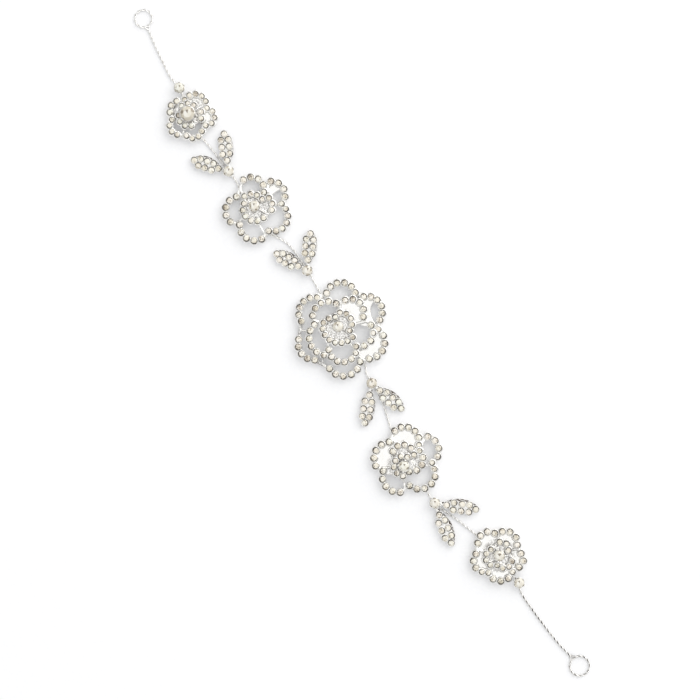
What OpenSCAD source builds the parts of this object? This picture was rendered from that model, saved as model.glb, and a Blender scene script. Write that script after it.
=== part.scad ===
// Hair vine: five openwork roses, four pairs of leaves and two end stones on one
// twisted wire, with a round loop at each end. Small clear stones sit in cups
// along the rim of every petal. It lies face up on the plane z = 0.
// Sizes are in millimetres. X runs from one end loop to the other.

/* [Wire] */
// Thickness of the twisted wire
wire_d = 0.9; // [0.8:0.05:0.95]
// Inside diameter of the loop at the left end
loop_a_bore = 4.6; // [4.4:0.1:5]
// Inside diameter of the loop at the right end
loop_b_bore = 5.4; // [5:0.1:5.8]

/* [Small stones] */
// Diameter of a small stone
stone_d = 1.9; // [1.7:0.05:1.9]
// Outside diameter of the cup round a small stone
cup_d = 2.3; // [2.2:0.05:2.4]
// Height of a cup
cup_h = 0.8; // [0.7:0.05:0.9]

/* [Petals] */
// Thickness of a petal wall
rail_w = 1.0; // [0.9:0.05:1.1]
// Height of the outer petals' rims above the table
rim_h = 2.7; // [2.6:0.05:2.9]
// How much higher each ring of petals inside them stands
tier_step = 0.9; // [0.85:0.05:1]
// Thickness of the polished floors in each rose's heart and in some petals
web_t = 0.6; // [0.5:0.05:0.65]

/* [Leaves] */
// Width of a leaf
leaf_w = 5.0; // [4.8:0.1:5.4]
// Thickness of a leaf
leaf_t = 1.4; // [1.2:0.1:1.6]

/* [Large stones] */
// Diameter of the stones at the leaf stems and the two ends
chaton_d = 3.2; // [3:0.1:3.3]
// Height of their settings above the table
chaton_h = 3.0; // [2.8:0.1:3.2]

/* [Hidden] */

metal = "silver";
crystal = "lavenderblush";
stone_gap = 0.04;
seat_depth = 0.42;
stone_rise = 0.36;
table_share = 0.58;
rail_below_rim = 0.5;
post_r = 0.72;
tie_w = 0.6;
tie_t = 1.2;
floor_over_tie = 0.1;
stem_share = 0.72;
cup_over = 0.15;
cup_under = 0.3;
cup_band = 0.25;
claw_r = 0.3;
claw_h = 1.0;
claw_rise = 0.2;
eye_claws = 4;
stem_claws = 6;
wire_z = wire_d / 2 + 0.05;
wire_clear = 0.2;
channel_over = 0.3;
wire_top = wire_z + wire_d / 2 + wire_clear;
round_fn = 48;

// Columns of a petal row: direction of the arc's middle point seen from the rose's
// own centre, its distance from there, the arc's radius, the angles of its first and
// last stone off that direction, and how many stones it holds.
TURN = 0;
REACH = 1;
RADIUS = 2;
FIRST = 3;
LAST = 4;
COUNT = 5;

rose_1_tiers = [
    [
        [-24, 4.5, 3.0, -53, 66, 4],
        [50, 4.9, 2.8, -84, 88, 5],
        [121, 3.3, 3.8, -42, 84, 5],
        [213, 4.1, 2.9, -53, 37, 3],
        [278, 5.1, 2.9, -84, 39, 4]
    ],
    [
        [30, 0.4, 3.3, 8, 46, 2],
        [205, 0.9, 3.2, -94, -20, 3],
        [281, 0.9, 3.1, -54, 63, 4]
    ]
];
rose_2_tiers = [
    [
        [31, 6.1, 4.8, -81, 56, 6],
        [97, 6.8, 4.3, -83, 52, 5],
        [159, 6.1, 4.1, -113, 25, 5],
        [244, 5.2, 4.6, -85, 42, 5],
        [323, 5.4, 4.9, -89, 30, 5]
    ],
    [
        [77, 2.0, 3.6, -42, 27, 3],
        [218, 1.3, 4.2, -124, -38, 4],
        [293, 0.2, 4.0, -82, 74, 6]
    ]
];
rose_3_tiers = [
    [
        [-30, 9.4, 5.4, -60, 77, 6],
        [31, 9.4, 5.3, -61, 77, 6],
        [92, 10.1, 4.9, -70, 67, 6],
        [147, 10.3, 4.9, -71, 71, 6],
        [204, 10.3, 5.0, -68, 65, 6],
        [263, 9.8, 5.2, -43, 65, 5]
    ],
    [
        [-31, 5.9, 4.5, -86, 67, 6],
        [47, 5.7, 4.5, -93, 41, 5],
        [119, 6.3, 4.3, -82, 51, 5],
        [192, 6.0, 5.0, -77, 40, 5],
        [263, 5.2, 5.8, -72, 52, 6]
    ],
    [
        [152, 2.0, 3.6, -134, -1, 5],
        [282, 2.3, 5.8, -131, -89, 3],
        [171, 1.5, 5.6, 76, 204, 7]
    ]
];
rose_4_tiers = [
    [
        [10, 6.4, 5.0, -83, 64, 6],
        [81, 6.7, 4.6, -84, 52, 5],
        [149, 5.7, 4.7, -106, 41, 6],
        [233, 4.9, 5.3, -82, 30, 5],
        [303, 5.9, 5.2, -85, 29, 5]
    ],
    [
        [55, 1.7, 3.9, -97, 46, 5],
        [185, 1.5, 3.6, -123, 28, 5]
    ],
    [
        [309, 2.2, 3.2, 177, 372, 6]
    ]
];
rose_5_tiers = [
    [
        [332, 4.1, 4.1, -76, 68, 5],
        [42, 5.1, 2.9, -44, 57, 3],
        [119, 4.5, 3.9, -72, 42, 4],
        [184, 5.2, 3.6, -69, 53, 4],
        [256, 4.9, 3.6, -58, 56, 4]
    ],
    [
        [15, 2.0, 2.7, -100, 32, 4],
        [128, 2.4, 2.3, -85, 33, 3],
        [251, 1.8, 2.7, -85, 50, 4]
    ]
];

// Columns of a floor row: tier, petal, direction in which the floor is widest and
// its width there. The floor is what is left of the petal's disc inside that side,
// and at the width WHOLE the whole disc stays.
WEB_TIER = 0;
WEB_PETAL = 1;
WEB_TURN = 2;
WEB_DEPTH = 3;
WHOLE = 20;
rose_1_webs = [
    [0, 1, 50, WHOLE], [0, 2, 121, WHOLE], [0, 3, 213, WHOLE],
    [1, 0, 30, WHOLE], [1, 1, 205, WHOLE], [1, 2, 281, WHOLE]
];
rose_2_webs = [[0, 1, 200, 4.6]];
rose_3_webs = [[0, 1, 25, 4.8], [0, 2, 236, 6.0], [1, 2, 85, WHOLE]];
rose_4_webs = [[0, 2, 135, 5.0], [0, 3, 233, WHOLE], [1, 0, 55, WHOLE], [1, 1, 185, WHOLE]];
rose_5_webs = [for (petal = [0 : 4]) [0, petal, 0, WHOLE]];

// Columns of a rose: place of its centre, its tiers, its floors, place of the centre
// stone from the centre, that stone's diameter, how far its girdle stands above the
// innermost petals' rims, and middle and radius of the floor inside these petals.
ROSE_AT = 0;
ROSE_TIERS = 1;
ROSE_WEBS = 2;
ROSE_EYE = 3;
ROSE_EYE_D = 4;
ROSE_EYE_RISE = 5;
ROSE_HEART = 6;
ROSE_HEART_R = 7;
roses = [
    [[-90.2, -4.8], rose_1_tiers, rose_1_webs, [-0.7, -0.5], 4.6, 1.5, [-0.1, -0.2], 3.7],
    [[-53.9, -4.2], rose_2_tiers, rose_2_webs, [-0.8, 0.0], 3.4, 0.9, [-0.1, 0.5], 4.4],
    [[-6.5, -3.1], rose_3_tiers, rose_3_webs, [-1.5, -0.4], 3.3, 0.9, [-1.0, -0.6], 4.8],
    [[39.1, -9.2], rose_4_tiers, rose_4_webs, [1.4, -1.7], 3.3, 0.9, [1.4, -1.7], 3.2],
    [[81.2, -1.7], rose_5_tiers, rose_5_webs, [-0.1, 0.0], 3.4, 0.9, [0.1, 0.1], 4.1]
];

// Columns of a leaf pair: place of the stem stone, then direction and length of
// each leaf from there.
PAIR_AT = 0;
PAIR_LEAVES = 1;
leaf_pairs = [
    [[-68.6, -4.7], [[153, 13.7], [217, 13.1]]],
    [[-28.3, -1.6], [[141, 13.5], [206, 12.6]]],
    [[12.9, -4.6], [[-43, 14.6], [16, 14.0]]],
    [[55.9, -9.3], [[48, 15.0], [-11, 15.6]]]
];
// Shares of a leaf's length at which its stones sit, one by one on the middle line
// or two by two at each side of it.
leaf_single = [0.26, 0.88];
leaf_double = [0.41, 0.58, 0.745];
leaf_stone_side = 1.12;
leaf_start = 2.2;
leaf_foot = 0.4;
leaf_taper = 0.45;

end_a_at = [-99.4, -2.9];
end_b_at = [92.0, -1.2];
loop_a_at = [-124.5, 0];
loop_b_at = [125.1, 0];

// The wires' routes, as places on the table
tail_a_route = [[-120.9, -0.6], [-115.5, -1.7], [-109.6, -2.6], [-104.4, -3.3], [-99.4, -2.9], [-94.3, -4.0]];
link_1_route = [[-84.3, -6.2], [-78, -5.3], [-68.6, -4.7], [-64.4, -4.6], [-60.6, -5.4]];
link_2_route = [[-46.4, -6.2], [-39.0, -2.0], [-28.3, -1.6], [-18.1, -2.3]];
link_3_route = [[4.7, -2.1], [7.3, -3.2], [9.5, -4.3], [12.9, -4.6], [18.4, -4.9], [23.9, -6.3], [31.8, -8.8]];
link_4_route = [[49.4, -9.0], [55.9, -9.3], [65.4, -6.1], [73.7, -3.4]];
tail_b_route = [
    [87.4, -2.2], [92.0, -1.2], [94.9, -2.4], [100.4, -2.5],
    [105.9, -2.3], [111.1, -2.0], [116.1, -1.5], [121.1, -0.6]
];
wire_sides = 10;
wire_rings = 3;
neck_d = 0.76;
neck_spread = 38;
neck_root = 0.5;

function polar(r, a) = [r * cos(a), r * sin(a)];
function petal_middle(p) = polar(p[REACH], p[TURN]);
function stone_turn(p, i) = p[TURN] + p[FIRST] + (p[LAST] - p[FIRST]) * i / (p[COUNT] - 1);
function stone_at(p, i) = petal_middle(p) + polar(p[RADIUS], stone_turn(p, i));
function first_stone(p) = stone_at(p, 0);
function last_stone(p) = stone_at(p, p[COUNT] - 1);
function next_petal(tier, i) = tier[(i + 1) % len(tier)];
function valley(tier, i) = (last_stone(tier[i]) + first_stone(next_petal(tier, i))) / 2;
function stones_inside(tiers, t) = [
    for (k = [t + 1 : 1 : len(tiers) - 1], p = tiers[k], i = [0 : p[COUNT] - 1]) stone_at(p, i)
];
function nearest(from, places, best = 0, i = 1) =
    i >= len(places) ? places[best]
    : nearest(from, places, norm(places[i] - from) < norm(places[best] - from) ? i : best, i + 1);

function tier_foot(t) = t == 0 ? 0 : wire_top + (t - 1) * tier_step;
function tier_rim(t) = rim_h + t * tier_step;
function tie_foot(t) = wire_top + t * tier_step;
function floor_foot(t) = tie_foot(t) + floor_over_tie;
function eye_rim(rose) = tier_rim(len(rose[ROSE_TIERS]) - 1) + rose[ROSE_EYE_RISE];
function eye_foot(rose) = tie_foot(len(rose[ROSE_TIERS]) - 1);

// Smooth curve through a route's places: each stretch is a cubic whose slopes at its
// ends come from the places before and after it
function route_place(route, i) =
    i < 0 ? 2 * route[0] - route[1]
    : i >= len(route) ? 2 * route[len(route) - 1] - route[len(route) - 2]
    : route[i];
function curve_at(route, s) =
    let (
        i = min(floor(s), len(route) - 2),
        f = s - i,
        a = route_place(route, i - 1),
        b = route_place(route, i),
        c = route_place(route, i + 1),
        d = route_place(route, i + 2)
    )
    b + f * (c - a) / 2 + f * f * (2 * a - 5 * b + 4 * c - d) / 2
    + f * f * f * (3 * b - a - 3 * c + d) / 2;

// The piece is centred on its box, worked out from the loops and the outer cups
all_stone_y = [
    for (rose = roses, tier = rose[ROSE_TIERS], p = tier, i = [0 : p[COUNT] - 1])
        rose[ROSE_AT].y + stone_at(p, i).y
];
left_x = loop_a_at.x - loop_a_bore / 2 - wire_d;
right_x = loop_b_at.x + loop_b_bore / 2 + wire_d;
box_middle = [(left_x + right_x) / 2, (min(all_stone_y) + max(all_stone_y)) / 2];

module placed(at) {
    translate([at.x - box_middle.x, at.y - box_middle.y, 0]) children();
}

module bar(from, to, width, foot, height) {
    reach = norm(to - from);
    translate([from.x, from.y, foot])
        rotate([0, 0, atan2(to.y - from.y, to.x - from.x)])
            translate([0, -width / 2, 0]) cube([reach, width, height]);
}

// Petal wall: an arc of plain wall with a post under each end and a bar to the next
module petal_rail(tier, i, foot, rim) {
    p = tier[i];
    height = rim - rail_below_rim - foot;
    translate([petal_middle(p).x, petal_middle(p).y, foot])
        rotate([0, 0, stone_turn(p, 0)])
            rotate_extrude(angle = p[LAST] - p[FIRST], $fn = round_fn)
                translate([p[RADIUS] - rail_w / 2, 0]) square([rail_w, height]);
    for (at = [first_stone(p), last_stone(p)])
        translate([at.x, at.y, foot]) cylinder(r = post_r, h = height + 0.1, $fn = round_fn);
    bar(last_stone(p), first_stone(next_petal(tier, i)), rail_w, foot, height);
}

module petal_cups(p, rim) {
    for (i = [0 : p[COUNT] - 1])
        translate([stone_at(p, i).x, stone_at(p, i).y, rim - cup_h])
            cylinder(d = cup_d, h = cup_h, $fn = round_fn);
}

module petal_seats(p, rim) {
    for (i = [0 : p[COUNT] - 1])
        translate([stone_at(p, i).x, stone_at(p, i).y, rim - seat_depth])
            cylinder(d = stone_d + 2 * stone_gap, h = seat_depth + stone_rise + stone_gap, $fn = round_fn);
}

// Polished floor: the petal's disc less the same disc moved away from one side
module petal_floor(rose, web) {
    p = rose[ROSE_TIERS][web[WEB_TIER]][web[WEB_PETAL]];
    away = petal_middle(p) - polar(web[WEB_DEPTH], web[WEB_TURN]);
    foot = floor_foot(web[WEB_TIER]);
    difference() {
        floor_disc(petal_middle(p), p[RADIUS], foot);
        if (web[WEB_DEPTH] < WHOLE)
            translate([away.x, away.y, 0]) cylinder(r = p[RADIUS], h = foot + web_t + 1, $fn = round_fn);
    }
}

module floor_disc(at, r, foot) {
    translate([at.x, at.y, foot]) cylinder(r = r, h = web_t, $fn = round_fn);
}

// Setting of a large stone: a stem that flares to a shallow cup under the girdle, and
// round claws that stand up beside it
module setting(d, foot, rim, claws) {
    cup_r = d / 2 + cup_over;
    stem_r = d / 2 * stem_share;
    top = rim - cup_under - foot;
    band_foot = top - cup_band;
    profile = [
        [0, 0], [stem_r, 0], [stem_r, band_foot - (cup_r - stem_r)],
        [cup_r, band_foot], [cup_r, top], [0, top]
    ];
    translate([0, 0, foot]) rotate_extrude($fn = round_fn) polygon(profile);
    for (i = [0 : claws - 1])
        rotate([0, 0, (i + 0.5) * 360 / claws])
            translate([cup_r, 0, rim - claw_h + claw_rise]) {
                cylinder(r = claw_r, h = claw_h, $fn = 24);
                translate([0, 0, claw_h]) sphere(r = claw_r + 0.02, $fn = 24);
            }
}

module setting_seat(d, rim) {
    seat_r = d / 2 + stone_gap;
    translate([0, 0, rim - seat_r]) cylinder(r1 = 0.3, r2 = seat_r, h = seat_r - 0.12, $fn = round_fn);
    translate([0, 0, rim - 0.14]) cylinder(r = seat_r, h = 2, $fn = round_fn);
}

// Space for a wire under a rim: a channel open to the table along the wire's route
module wire_channel(route) {
    width = wire_d + 2 * wire_clear;
    ends = len(route) - 1;
    for (i = [0 : ends - 1], half = [0, 0.5]) {
        from = curve_at(route, i + half);
        to = curve_at(route, i + half + 0.5);
        step = (to - from) / norm(to - from) * channel_over;
        bar(from - step, to + step, width, -1, wire_top + 1);
    }
}

module rose_setting(rose, routes) {
    tiers = rose[ROSE_TIERS];
    last = len(tiers) - 1;
    eye = rose[ROSE_EYE];
    color(metal) placed(rose[ROSE_AT]) difference() {
        union() {
            for (t = [0 : last], i = [0 : len(tiers[t]) - 1]) {
                petal_rail(tiers[t], i, tier_foot(t), tier_rim(t));
                petal_cups(tiers[t][i], tier_rim(t));
            }
            for (t = [0 : last], i = [0 : len(tiers[t]) - 1]) {
                from = valley(tiers[t], i);
                to = t == last ? eye : nearest(from, stones_inside(tiers, t));
                bar(from, to, tie_w, tie_foot(t), tie_t);
            }
            for (web = rose[ROSE_WEBS]) petal_floor(rose, web);
            floor_disc(rose[ROSE_HEART], rose[ROSE_HEART_R], floor_foot(last));
            translate([eye.x, eye.y, 0])
                setting(rose[ROSE_EYE_D], eye_foot(rose), eye_rim(rose), eye_claws);
        }
        for (t = [0 : last], p = tiers[t]) petal_seats(p, tier_rim(t));
        translate([eye.x, eye.y, 0]) setting_seat(rose[ROSE_EYE_D], eye_rim(rose));
        translate([-rose[ROSE_AT].x, -rose[ROSE_AT].y, 0])
            for (route = routes) wire_channel(route);
    }
}

// Small stone: an eight-sided crown with a flat table, girdle downwards
module small_stone(d) {
    cylinder(d1 = d, d2 = d * table_share, h = seat_depth + stone_rise - stone_gap, $fn = 8);
}

module rose_stones(rose) {
    tiers = rose[ROSE_TIERS];
    color(crystal) placed(rose[ROSE_AT])
        for (t = [0 : len(tiers) - 1], p = tiers[t], i = [0 : p[COUNT] - 1])
            translate([stone_at(p, i).x, stone_at(p, i).y, tier_rim(t) - seat_depth + stone_gap])
                rotate([0, 0, stone_turn(p, i)]) small_stone(stone_d);
}

// Large stone: table of eight sides, eight stars, eight kites, sixteen small crown
// facets, a thin girdle of sixteen sides and a pavilion of sixteen facets
module large_stone(d) {
    r = d / 2;
    table_z = 0.36 * r;
    mid_z = 0.24 * r;
    girdle_t = 0.1;
    low_z = 0.02 - girdle_t;
    culet_z = -r + 0.22;
    table = [for (i = [0 : 7]) [0.56 * r * cos(45 * i), 0.56 * r * sin(45 * i), table_z]];
    mid = [for (i = [0 : 7]) [0.78 * r * cos(45 * i + 22.5), 0.78 * r * sin(45 * i + 22.5), mid_z]];
    upper = [for (i = [0 : 15]) [r * cos(22.5 * i), r * sin(22.5 * i), 0.02]];
    lower = [for (i = [0 : 15]) [r * cos(22.5 * i), r * sin(22.5 * i), low_z]];
    points = concat(table, mid, upper, lower, [[0, 0, culet_z]]);
    M = 8;
    U = 16;
    L = 32;
    culet = 48;
    faces = concat(
        [[for (i = [7 : -1 : 0]) i]],
        [for (i = [0 : 7]) [i, (i + 1) % 8, M + i]],
        [for (i = [0 : 7]) [i, M + i, U + 2 * i]],
        [for (i = [0 : 7]) [i, U + 2 * i, M + (i + 7) % 8]],
        [for (i = [0 : 7]) [M + i, U + 2 * i + 1, U + 2 * i]],
        [for (i = [0 : 7]) [M + i, U + (2 * i + 2) % 16, U + 2 * i + 1]],
        [for (i = [0 : 15]) [U + i, U + (i + 1) % 16, L + (i + 1) % 16, L + i]],
        [for (i = [0 : 15]) [L + i, L + (i + 1) % 16, culet]]
    );
    polyhedron(points, faces);
}

module rose_centre_stone(rose) {
    at = rose[ROSE_AT] + rose[ROSE_EYE];
    color(crystal) placed(at) translate([0, 0, eye_rim(rose)]) large_stone(rose[ROSE_EYE_D]);
}

function leaf_spots(length) = concat(
    [for (s = leaf_single) [s * length, 0]],
    [for (s = leaf_double, side = [-1, 1]) [s * length, side * leaf_stone_side]]
);

// Leaf: the lens between two round edges that lean inwards, with its stones' seats
module leaf(turn, length) {
    half = (length - leaf_start) / 2;
    edge_r = (half * half + leaf_w * leaf_w / 4) / leaf_w;
    rotate([0, 0, turn]) translate([leaf_start + half, 0, leaf_foot])
        intersection_for (side = [-1, 1])
            translate([0, side * (edge_r - leaf_w / 2), 0])
                cylinder(r1 = edge_r, r2 = edge_r - leaf_taper, h = leaf_t, $fn = 120);
    rotate([0, 0, turn]) bar([0, 0], [leaf_start + 2.4, 0], 1.3, leaf_foot, leaf_t - 0.3);
}

module leaf_seats(turn, length) {
    rotate([0, 0, turn])
        for (spot = leaf_spots(length))
            translate([spot.x, spot.y, leaf_foot + leaf_t - 0.35])
                cylinder(d = stone_d, h = 1, $fn = round_fn);
}

module leaf_pair(pair, route) {
    color(metal) placed(pair[PAIR_AT]) difference() {
        union() {
            for (one = pair[PAIR_LEAVES]) leaf(one[0], one[1]);
            setting(chaton_d, 0, chaton_h, stem_claws);
        }
        for (one = pair[PAIR_LEAVES]) leaf_seats(one[0], one[1]);
        setting_seat(chaton_d, chaton_h);
        translate([-pair[PAIR_AT].x, -pair[PAIR_AT].y, 0]) wire_channel(route);
    }
}

module chaton_stone(at) {
    color(crystal) placed(at) translate([0, 0, chaton_h]) large_stone(chaton_d);
}

module end_setting(at, route) {
    color(metal) placed(at) difference() {
        setting(chaton_d, 0, chaton_h, stem_claws);
        setting_seat(chaton_d, chaton_h);
        translate([-at.x, -at.y, 0]) wire_channel(route);
    }
}

module rod(from, to, d) {
    run = to - from;
    translate([from.x, from.y, wire_z])
        rotate([0, 90, atan2(run.y, run.x)]) cylinder(d = d, h = norm(run), $fn = 24);
}

// Wire: a ten-sided tube swept along the smooth curve through its route's places
module wire(route) {
    steps = wire_rings * (len(route) - 1);
    points = [
        for (k = [0 : steps], i = [0 : wire_sides - 1])
            let (
                at = curve_at(route, k / wire_rings),
                ahead = curve_at(route, min(k + 0.5, steps) / wire_rings),
                behind = curve_at(route, max(k - 0.5, 0) / wire_rings),
                side = (ahead - behind) / norm(ahead - behind),
                a = 360 * i / wire_sides
            )
            [at.x - side.y * cos(a) * wire_d / 2, at.y + side.x * cos(a) * wire_d / 2,
             wire_z + sin(a) * wire_d / 2]
    ];
    caps = [
        [for (i = [0 : wire_sides - 1]) i],
        [for (i = [wire_sides - 1 : -1 : 0]) steps * wire_sides + i]
    ];
    skin = [
        for (k = [0 : steps - 1], i = [0 : wire_sides - 1], half = [0, 1])
            let (
                a = k * wire_sides + i,
                b = k * wire_sides + (i + 1) % wire_sides
            )
            half == 0 ? [a, a + wire_sides, b] : [b, a + wire_sides, b + wire_sides]
    ];
    polyhedron(points, concat(caps, skin));
}

// End loop: a ring of wire whose two strands part from the tail in a fork
module end_loop(at, bore, tail_end) {
    ring_r = bore / 2 + wire_d / 2;
    back = atan2(tail_end.y - at.y, tail_end.x - at.x);
    root = tail_end + polar(neck_root, back);
    translate([at.x, at.y, wire_z])
        rotate_extrude($fn = 96) translate([ring_r, 0]) circle(d = wire_d, $fn = 24);
    for (side = [-1, 1])
        rod(root, at + polar(ring_r, back + side * neck_spread / 2), neck_d);
}

module wire_tail_a() {
    color(metal) placed([0, 0]) {
        wire(tail_a_route);
        end_loop(loop_a_at, loop_a_bore, tail_a_route[0]);
    }
}

module wire_tail_b() {
    color(metal) placed([0, 0]) {
        wire(tail_b_route);
        end_loop(loop_b_at, loop_b_bore, tail_b_route[len(tail_b_route) - 1]);
    }
}

module wire_link(route) {
    color(metal) placed([0, 0]) wire(route);
}

rose_setting(roses[0], [tail_a_route, link_1_route]);  // rose_1_setting
rose_setting(roses[1], [link_1_route, link_2_route]);  // rose_2_setting
rose_setting(roses[2], [link_2_route, link_3_route]);  // rose_3_setting
rose_setting(roses[3], [link_3_route, link_4_route]);  // rose_4_setting
rose_setting(roses[4], [link_4_route, tail_b_route]);  // rose_5_setting
rose_stones(roses[0]);  // rose_1_stones
rose_stones(roses[1]);  // rose_2_stones
rose_stones(roses[2]);  // rose_3_stones
rose_stones(roses[3]);  // rose_4_stones
rose_stones(roses[4]);  // rose_5_stones
rose_centre_stone(roses[0]);  // rose_1_centre_stone
rose_centre_stone(roses[1]);  // rose_2_centre_stone
rose_centre_stone(roses[2]);  // rose_3_centre_stone
rose_centre_stone(roses[3]);  // rose_4_centre_stone
rose_centre_stone(roses[4]);  // rose_5_centre_stone
leaf_pair(leaf_pairs[0], link_1_route);  // leaf_pair_1
leaf_pair(leaf_pairs[1], link_2_route);  // leaf_pair_2
leaf_pair(leaf_pairs[2], link_3_route);  // leaf_pair_3
leaf_pair(leaf_pairs[3], link_4_route);  // leaf_pair_4
chaton_stone(leaf_pairs[0][PAIR_AT]);  // leaf_stone_1
chaton_stone(leaf_pairs[1][PAIR_AT]);  // leaf_stone_2
chaton_stone(leaf_pairs[2][PAIR_AT]);  // leaf_stone_3
chaton_stone(leaf_pairs[3][PAIR_AT]);  // leaf_stone_4
end_setting(end_a_at, tail_a_route);  // end_setting_a
end_setting(end_b_at, tail_b_route);  // end_setting_b
chaton_stone(end_a_at);  // end_stone_a
chaton_stone(end_b_at);  // end_stone_b
wire_tail_a();
wire_link(link_1_route);  // wire_link_1
wire_link(link_2_route);  // wire_link_2
wire_link(link_3_route);  // wire_link_3
wire_link(link_4_route);  // wire_link_4
wire_tail_b();
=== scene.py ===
"""Looks of the hair vine: cast silver roses and leaves set with clear stones on twisted wire.

Everything is in metres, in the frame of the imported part. Tables that repeat a size of the
construction are in millimetres and pass through MM.
"""

import math
from collections import namedtuple

import bpy
import numpy as np
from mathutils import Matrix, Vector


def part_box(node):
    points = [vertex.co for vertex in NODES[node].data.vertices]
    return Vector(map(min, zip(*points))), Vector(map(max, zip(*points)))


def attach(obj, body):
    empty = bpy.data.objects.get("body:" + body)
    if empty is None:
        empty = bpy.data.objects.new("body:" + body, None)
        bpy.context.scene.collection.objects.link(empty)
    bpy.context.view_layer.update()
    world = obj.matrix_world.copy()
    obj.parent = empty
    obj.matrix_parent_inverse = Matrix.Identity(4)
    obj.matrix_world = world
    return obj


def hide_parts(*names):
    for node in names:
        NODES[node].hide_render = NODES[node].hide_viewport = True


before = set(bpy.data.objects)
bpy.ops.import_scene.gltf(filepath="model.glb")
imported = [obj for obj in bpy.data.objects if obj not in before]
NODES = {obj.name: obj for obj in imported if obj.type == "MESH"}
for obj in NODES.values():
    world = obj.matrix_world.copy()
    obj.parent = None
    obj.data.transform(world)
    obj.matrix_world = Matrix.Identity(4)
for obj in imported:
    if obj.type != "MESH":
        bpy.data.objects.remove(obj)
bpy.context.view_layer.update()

MM = 0.001
WELD = 1e-6
TURN = 2 * math.pi

# Where the camera stands: straight above, turned so that the vine runs down to the right
PICTURE_WIDTH = 224 * MM
PICTURE_TURN = math.radians(56.03)
PICTURE_MIDDLE = (-0.21 * MM, -0.66 * MM)
LENS = 110.0
SENSOR = 36.0

# Small stones: how far the girdle lies under the table, the greatest and least radius,
# and the radius as a share of the way to the nearest neighbour
GIRDLE_UNDER_TABLE = 0.36 * MM
STONE_RADIUS = 1.11 * MM
STONE_LEAST = 0.92 * MM
STONE_SHARE = 0.466

# The rolled rim round a small stone: radius and height in stone radii, and share of shade
RIM_SIDES = 12
RIM_PROFILE = np.array([
    [1.16, -0.34, 0.1], [1.16, -0.1, 0.1], [1.13, 0.01, 0.0], [1.04, 0.03, 0.0],
    [0.99, -0.02, 1.0], [1.0, -0.34, 1.0],
])

# The cut of a stone, eight-sided. The kinds of its facets stand in the order of its faces,
# which are the table's wedges, stars, upper girdle, pavilion and kites: how many there are,
# and their least and greatest tone, which is the painted reflection that each facet shows
CUT = 8
FACET_KINDS = np.array([
    [CUT, 0.5, 1.0], [CUT, 0.35, 1.0], [2 * CUT, 0.25, 1.0], [2 * CUT, 0.1, 0.4],
    [CUT, 0.55, 1.0],
])

# What is left of the tone of a dark facet, the range of each table's share of its tone,
# how many stones are dark all over, and what is left of their tone
DARK_FACET = 0.3
TABLE_TONES = (0.55, 1.3)
DARK_STONES = 0.12
DARK_STONE = 0.55

# What is the same all round a stone, and what the side that it leans to adds, all of it
# painted shade: in its facets, the line at its girdle and at its kites, and in its rim
LEAN_SHADE_SIDE = (-0.1, 1.6)
GIRDLE_SIDE = (0.55, 0.45)
KITE_SIDE = (-0.4, 0.75)
RIM_SIDE = (0.5, 0.45)

# The glint in a large stone's table, a painted highlight: its tone, how much the way to one
# side of the picture adds, and the tone of the wedges that look to another side, painted dark
GLINT_WAY = PICTURE_TURN + math.radians(160)
GLINT_TONE = (0.76, 0.24)
WEDGE_WAY = PICTURE_TURN + math.radians(85)
WEDGE_NEAR = 0.9
WEDGE_TONE = 0.1

# Looks of a field of stones: share of dark facets, least tint, painted shade on the side
# that a stone leans to, and whether its table has a painted glint
ROSE_FIRE = {"dark_share": 0.16, "least_tint": 0.25, "lean_shade": 0.75, "glint": False}
LEAF_FIRE = {"dark_share": 0.12, "least_tint": 0.2, "lean_shade": 0.6, "glint": False}
LARGE_FIRE = {"dark_share": 0.16, "least_tint": 0.75, "lean_shade": 0.3, "glint": True}

# How stones lie: their lean in degrees, how far the direction of the lean strays, and how
# strong their painted shade is, at the edge, in the facets and in the rim
ROSE_LEAN, ROSE_STRAY, ROSE_SHADE_STRENGTH = (2, 10), (-0.7, 0.7), (0.55, 1.0)
LEAF_LEAN, LEAF_STRAY, LEAF_SHADE_STRENGTH = (1, 7), (-1.2, 1.2), (0.4, 0.8)
LARGE_LEAN, LARGE_STRAY, LARGE_SHADE_STRENGTH = 3.0, (-1.2, 0.2), 0.4
FIRST_CENTRE_LEAN = 7.0
LEAF_TOWARDS = PICTURE_TURN + math.radians(60)

# Height of a large stone's table over its girdle, in its radii
LARGE_TABLE = 0.36

# Castings: the cubes that they are rebuilt from, how far their cups swell, and the shade in
# cups, hearts and large settings. A pair of distances is where an effect is whole and where
# it has faded away
CASTING_GRAIN = 0.17 * MM
CUP_SWELL = 0.22 * MM
SWELL_REACH = (1.2 * MM, 1.9 * MM)
SWELL_DEPTH = (0.9 * MM, 1.7 * MM)
CUP_SHADE = 0.05
CUP_SHADE_REACH = (1.4 * MM, 1.9 * MM)
HEART_SHADE = 0.24
HEART_REACH = (5.0 * MM, 5.8 * MM)
SETTING_SHADE = 0.22
SETTING_REACH = (0.35 * MM, 0.75 * MM)
SETTING_DEPTH = 2.5 * MM
CLAW_RISE = 0.12 * MM
CLAW_FADE = 0.25 * MM

# Two ties of the large rose painted in shade, in the valley on one side of it
SHADED_TIES = [[-14.0, -14.1], [-1.4, -14.5]]
TIE_SHADE = 0.3
TIE_REACH = (1.4 * MM, 2.2 * MM)

# Middle of the vine's box in the places that the construction is drawn with
BOX_MIDDLE = np.array([0.5, -3.782])

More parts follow.
